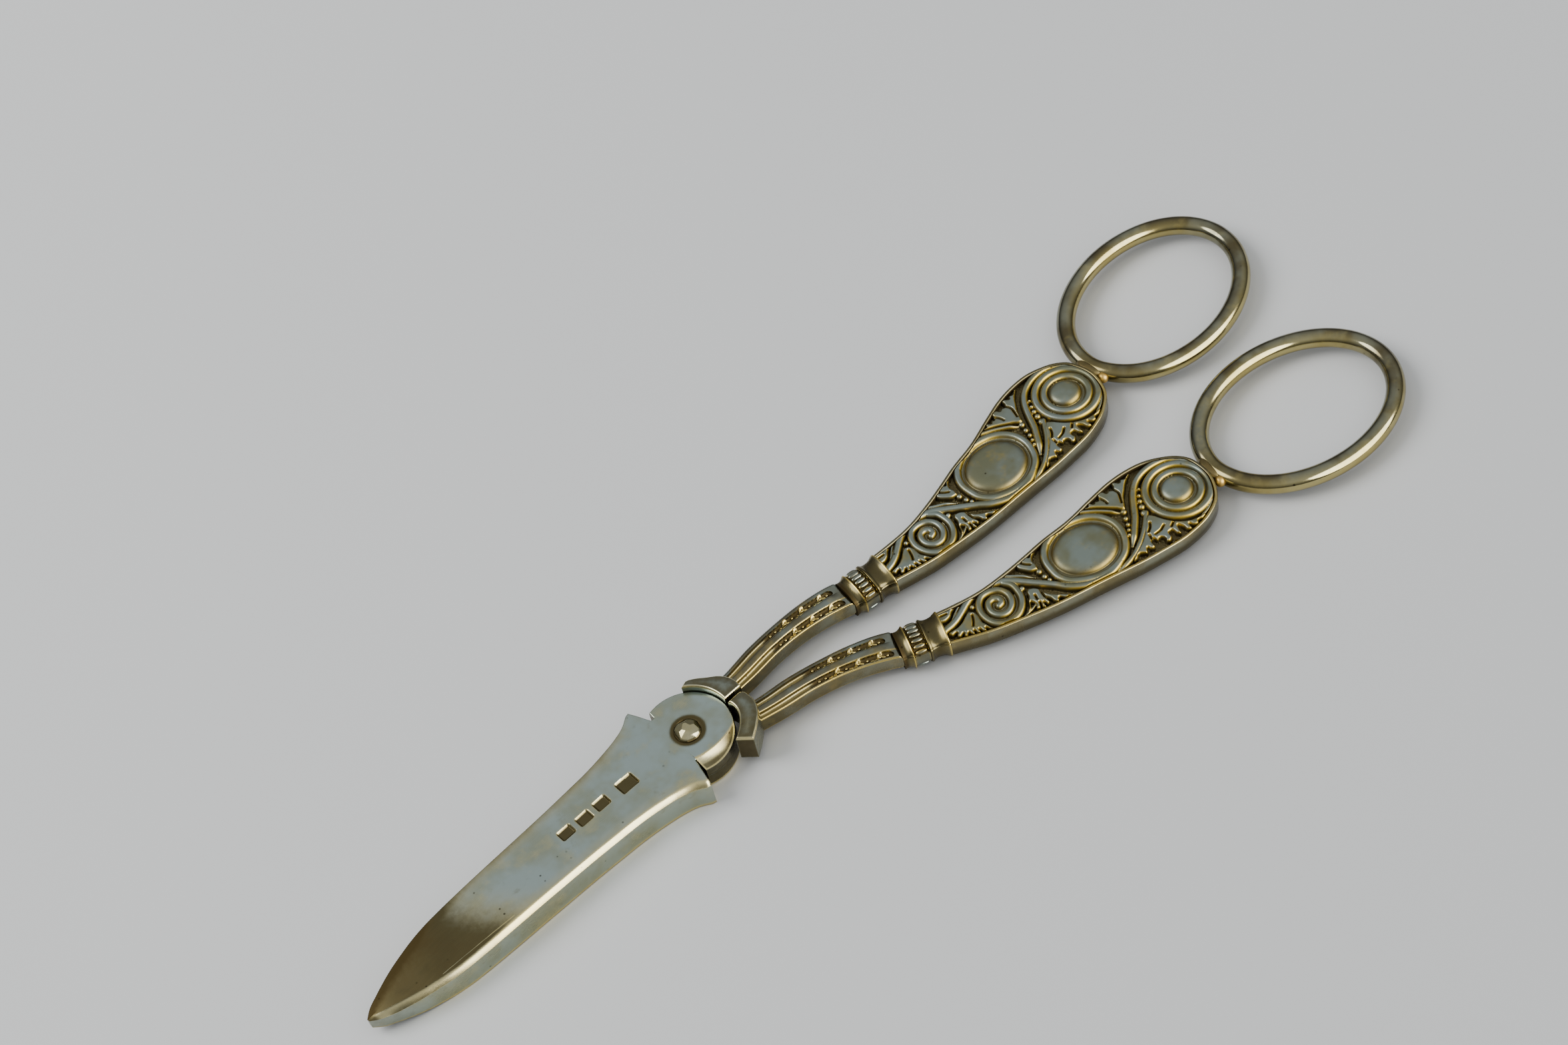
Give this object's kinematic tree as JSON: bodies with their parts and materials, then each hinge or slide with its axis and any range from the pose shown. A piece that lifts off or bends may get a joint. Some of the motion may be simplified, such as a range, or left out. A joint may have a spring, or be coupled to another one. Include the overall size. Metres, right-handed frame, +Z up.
{
  "type": "grape shears",
  "caption": "Silver-gilt grape shears: two crossed halves on a domed rivet, an L-section blade over a flat one, fluted shanks, scroll-ornamented handles and oval finger bows.",
  "frame": {"origin": "on the pivot axis at table height, the middle of the flat spread end of the rivet", "axes": "+X towards the finger bows, -X towards the blade tips, +Z up out of the face that shows, +Y on the upper half's handle side"},
  "size_m": [0.1766, 0.0574, 0.0065],
  "materials": {
    "blade_silver": "worn silver-gilt, polished with fine scratches",
    "handle_silver": "worn silver-gilt with brown tarnish",
    "ornament_silver": "struck silver-gilt, dark patina in the recesses",
    "solder_silver": "warm golden solder",
    "rivet_silver": "hammered silver-gilt"
  },
  "bodies": {
    "lower_half": {"lower_blade": "blade_silver", "lower_shank": "handle_silver", "lower_neck_ring": "handle_silver", "lower_gadroon_band": "handle_silver", "lower_ferrule": "handle_silver", "lower_handle": "handle_silver", "lower_front_plate": "ornament_silver", "lower_back_plate": "ornament_silver", "lower_bow": "handle_silver", "lower_bow_lug": "solder_silver", "pivot_rivet": "rivet_silver"},
    "upper_half": {"upper_blade": "blade_silver", "upper_shank": "handle_silver", "upper_neck_ring": "handle_silver", "upper_gadroon_band": "handle_silver", "upper_ferrule": "handle_silver", "upper_handle": "handle_silver", "upper_front_plate": "ornament_silver", "upper_back_plate": "ornament_silver", "upper_bow": "handle_silver", "upper_bow_lug": "solder_silver"}
  },
  "joints": [
    {"name": "pivot", "type": "hinge", "parent": "lower_half", "child": "upper_half", "pos_m": [0, 0, 0.0025], "axis": [0, 0, 1], "range_deg": [0, 45]}
  ]
}
